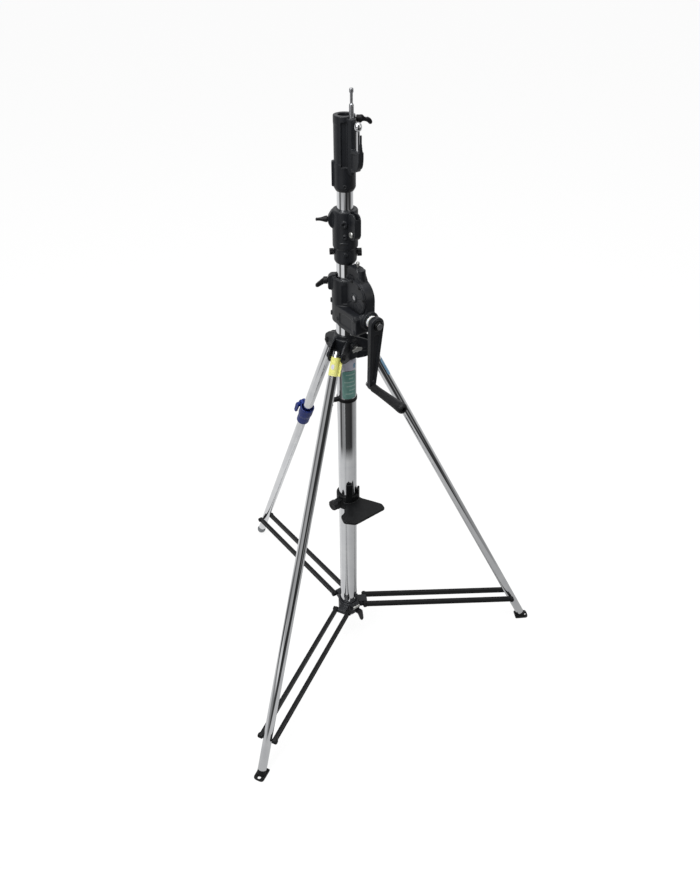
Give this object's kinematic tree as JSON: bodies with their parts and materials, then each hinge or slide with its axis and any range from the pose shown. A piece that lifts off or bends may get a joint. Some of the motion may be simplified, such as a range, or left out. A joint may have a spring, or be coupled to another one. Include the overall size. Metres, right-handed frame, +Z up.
{
  "type": "crank lighting stand",
  "caption": "Wind-up lighting tripod stand: chrome column with two crank-raised risers, folding braced legs, one levelling leg, and a head with a socket and a spigot.",
  "frame": {"origin": "on the floor, under the middle of the tripod's footprint", "axes": "+Z up along the column, +X along the right-hand leg; the crank side points to -60 degrees from +X"},
  "size_m": [0.9098, 1.0355, 1.676],
  "materials": {
    "chrome": "polished chrome plate",
    "zinc": "zinc plated, satin",
    "steel": "machined steel",
    "bronze": "cast bronze, machined teeth",
    "black_casting": "black satin powder coat on die-cast aluminium",
    "black_steel": "black semi-gloss paint on steel",
    "black_plastic": "black moulded nylon",
    "grey_rubber": "grey moulded rubber",
    "white_nylon": "white nylon",
    "blue_plastic": "blue moulded plastic"
  },
  "bodies": {
    "column": {"base_tube": "chrome", "column_plug": "black_plastic", "gear_housing": "black_casting", "gear_cover": "black_casting", "gear_axle": "steel", "gearbox_pin": "zinc", "leg_collar": "black_casting", "right_leg_bolt": "black_steel", "front_leg_bolt": "black_steel", "levelling_leg_bolt": "black_steel", "catch_bracket": "black_steel", "stop_clip": "black_steel"},
    "drive_gear": {"drive_gear": "bronze"},
    "crank": {"worm_shaft": "steel", "crank_washer": "white_nylon", "crank_arm": "black_casting", "crank_nut": "zinc", "grip_pin": "steel"},
    "crank_grip": {"crank_grip": "black_plastic"},
    "gearbox_lock": {"gearbox_lock_lever": "black_plastic"},
    "riser_1": {"riser_1_tube": "chrome", "riser_1_rack": "steel", "riser_1_bush": "white_nylon", "riser_collar": "black_casting", "pulley_screw": "zinc"},
    "cable_pulley": {"cable_pulley": "white_nylon"},
    "riser_collar_lock": {"riser_collar_lock": "black_plastic"},
    "riser_collar_knob": {"riser_collar_knob": "black_plastic"},
    "riser_collar_screw": {"riser_collar_screw": "black_plastic"},
    "riser_2": {"riser_2_tube": "chrome", "riser_2_bush": "white_nylon", "head_casting": "black_casting", "head_spigot": "steel"},
    "head_wing_screw": {"head_wing_screw": "black_plastic"},
    "safety_pin": {"safety_pin": "chrome"},
    "leg_collar_wing_bolt": {"leg_collar_wing_bolt": "zinc"},
    "lower_collar": {"lower_collar": "black_casting", "lower_collar_pin": "zinc", "right_brace_bolt": "black_steel", "levelling_brace_bolt": "black_steel", "front_brace_bolt": "black_steel"},
    "lower_collar_lock": {"lower_collar_lock": "black_plastic"},
    "right_leg": {"right_leg_tube": "chrome", "right_foot": "black_steel"},
    "front_leg": {"front_leg_tube": "chrome", "front_foot": "black_steel"},
    "levelling_leg": {"levelling_outer_tube": "chrome", "levelling_clamp": "blue_plastic"},
    "levelling_clamp_lever": {"levelling_clamp_lever": "blue_plastic"},
    "levelling_inner": {"levelling_inner_tube": "chrome", "levelling_foot": "grey_rubber"},
    "catch_bracket_knob": {"catch_bracket_knob": "black_plastic"},
    "stop_clip_screw": {"stop_clip_screw": "black_plastic"},
    "right_brace": {"right_brace_a": "black_steel", "right_brace_b": "black_steel"},
    "levelling_brace": {"levelling_brace_a": "black_steel", "levelling_brace_b": "black_steel"},
    "front_brace": {"front_brace_a": "black_steel", "front_brace_b": "black_steel"}
  },
  "joints": [
    {"name": "crank_turn", "type": "hinge", "parent": "column", "child": "crank", "pos_m": [-0.145, 0, 1.17], "axis": [-0.5, 0.866, 0], "range_deg": [0, 38160]},
    {"name": "crank_grip_spin", "type": "hinge", "parent": "crank", "child": "crank_grip", "pos_m": [-0.09005, -0.11839, 1.00401], "axis": [0.5, -0.866, 0], "continuous": true},
    {"name": "drive_gear_turn", "type": "hinge", "parent": "column", "child": "drive_gear", "pos_m": [-0.116, -0.05023, 1.218], "axis": [0.866, 0.5, 0], "range_deg": [0, 1591]},
    {"name": "riser_1_slide", "type": "slide", "parent": "column", "child": "riser_1", "axis": [0, 0, 1], "range_m": [0, 1]},
    {"name": "riser_2_slide", "type": "slide", "parent": "riser_1", "child": "riser_2", "axis": [0, 0, 1], "range_m": [0, 1]},
    {"name": "cable_pulley_turn", "type": "hinge", "parent": "riser_1", "child": "cable_pulley", "pos_m": [-0.1265, -0.03204, 1.364], "axis": [0.866, 0.5, 0], "range_deg": [0, 5724]},
    {"name": "riser_collar_lock_turn", "type": "hinge", "parent": "riser_1", "child": "riser_collar_lock", "pos_m": [-0.175, 0, 1.391], "axis": [-1, 0, 0], "range_deg": [0, 90]},
    {"name": "riser_collar_knob_turn", "type": "hinge", "parent": "riser_1", "child": "riser_collar_knob", "pos_m": [-0.115, 0, 1.308], "axis": [1, 0, 0], "range_deg": [0, 180]},
    {"name": "riser_collar_screw_turn", "type": "hinge", "parent": "riser_1", "child": "riser_collar_screw", "pos_m": [-0.175, 0, 1.312], "axis": [-1, 0, 0], "range_deg": [0, 180]},
    {"name": "gearbox_lock_turn", "type": "hinge", "parent": "column", "child": "gearbox_lock", "pos_m": [-0.18485, 0.00349, 1.238], "axis": [-0.9962, 0.0872, 0], "range_deg": [0, 90]},
    {"name": "head_wing_screw_turn", "type": "hinge", "parent": "riser_2", "child": "head_wing_screw", "pos_m": [-0.11511, 0.00262, 1.608], "axis": [0.9962, 0.0872, 0], "range_deg": [0, 180]},
    {"name": "safety_pin_pull", "type": "slide", "parent": "riser_2", "child": "safety_pin", "axis": [0, 0, 1], "range_m": [0, 0.03]},
    {"name": "leg_collar_wing_turn", "type": "hinge", "parent": "column", "child": "leg_collar_wing_bolt", "pos_m": [-0.125, -0.03464, 1.069], "axis": [0.5, -0.866, 0], "range_deg": [0, 180]},
    {"name": "leg_fold", "type": "slide", "parent": "column", "child": "lower_collar", "axis": [0, 0, 1], "range_m": [0, 0.34092]},
    {"name": "lower_collar_lock_turn", "type": "hinge", "parent": "lower_collar", "child": "lower_collar_lock", "pos_m": [-0.11672, -0.02828, 0.108], "axis": [-0.7071, 0.7071, 0], "range_deg": [0, 90]},
    {"name": "right_leg_swing", "type": "hinge", "parent": "column", "child": "right_leg", "pos_m": [-0.088, 0, 1.057], "axis": [0, 1, 0], "range_deg": [0, 25]},
    {"name": "right_brace_swing", "type": "hinge", "parent": "lower_collar", "child": "right_brace", "pos_m": [-0.095, 0, 0.13], "axis": [0, 1, 0], "range_deg": [0, 82.43]},
    {"name": "levelling_leg_swing", "type": "hinge", "parent": "column", "child": "levelling_leg", "pos_m": [-0.1735, 0.04936, 1.057], "axis": [-0.866, -0.5, 0], "range_deg": [0, 25]},
    {"name": "levelling_brace_swing", "type": "hinge", "parent": "lower_collar", "child": "levelling_brace", "pos_m": [-0.17, 0.0433, 0.13], "axis": [-0.866, -0.5, 0], "range_deg": [0, 82.43]},
    {"name": "front_leg_swing", "type": "hinge", "parent": "column", "child": "front_leg", "pos_m": [-0.1735, -0.04936, 1.057], "axis": [0.866, -0.5, 0], "range_deg": [0, 25]},
    {"name": "front_brace_swing", "type": "hinge", "parent": "lower_collar", "child": "front_brace", "pos_m": [-0.17, -0.0433, 0.13], "axis": [0.866, -0.5, 0], "range_deg": [0, 82.43]},
    {"name": "levelling_leg_slide", "type": "slide", "parent": "levelling_leg", "child": "levelling_inner", "axis": [-0.2215, 0.3837, -0.8965], "range_m": [0, 0.25]},
    {"name": "levelling_clamp_turn", "type": "hinge", "parent": "levelling_leg", "child": "levelling_clamp_lever", "pos_m": [-0.2607, 0.20039, 0.76282], "axis": [0.866, 0.5, 0], "range_deg": [0, 90]},
    {"name": "catch_bracket_knob_turn", "type": "hinge", "parent": "column", "child": "catch_bracket_knob", "pos_m": [-0.18493, -0.03009, 0.56], "axis": [-0.7986, -0.6018, 0], "range_deg": [0, 180]},
    {"name": "stop_clip_screw_turn", "type": "hinge", "parent": "column", "child": "stop_clip_screw", "pos_m": [-0.18259, -0.01368, 0.905], "axis": [-0.9397, -0.342, 0], "range_deg": [0, 180]}
  ],
  "couplings": [
    {"joint": "drive_gear_turn", "follows": "crank_turn", "ratio": 0.041667},
    {"joint": "riser_1_slide", "follows": "crank_turn", "m_per_rad": 0.0015},
    {"joint": "riser_2_slide", "follows": "crank_turn", "m_per_rad": 0.0015},
    {"joint": "cable_pulley_turn", "follows": "crank_turn", "ratio": 0.15},
    {"joint": "right_leg_swing", "follows": "leg_fold", "rad_per_m": 1.2543},
    {"joint": "right_brace_swing", "follows": "leg_fold", "rad_per_m": 4.1944},
    {"joint": "levelling_leg_swing", "follows": "leg_fold", "rad_per_m": 1.2543},
    {"joint": "levelling_brace_swing", "follows": "leg_fold", "rad_per_m": 4.1944},
    {"joint": "front_leg_swing", "follows": "leg_fold", "rad_per_m": 1.2543},
    {"joint": "front_brace_swing", "follows": "leg_fold", "rad_per_m": 4.1944}
  ]
}
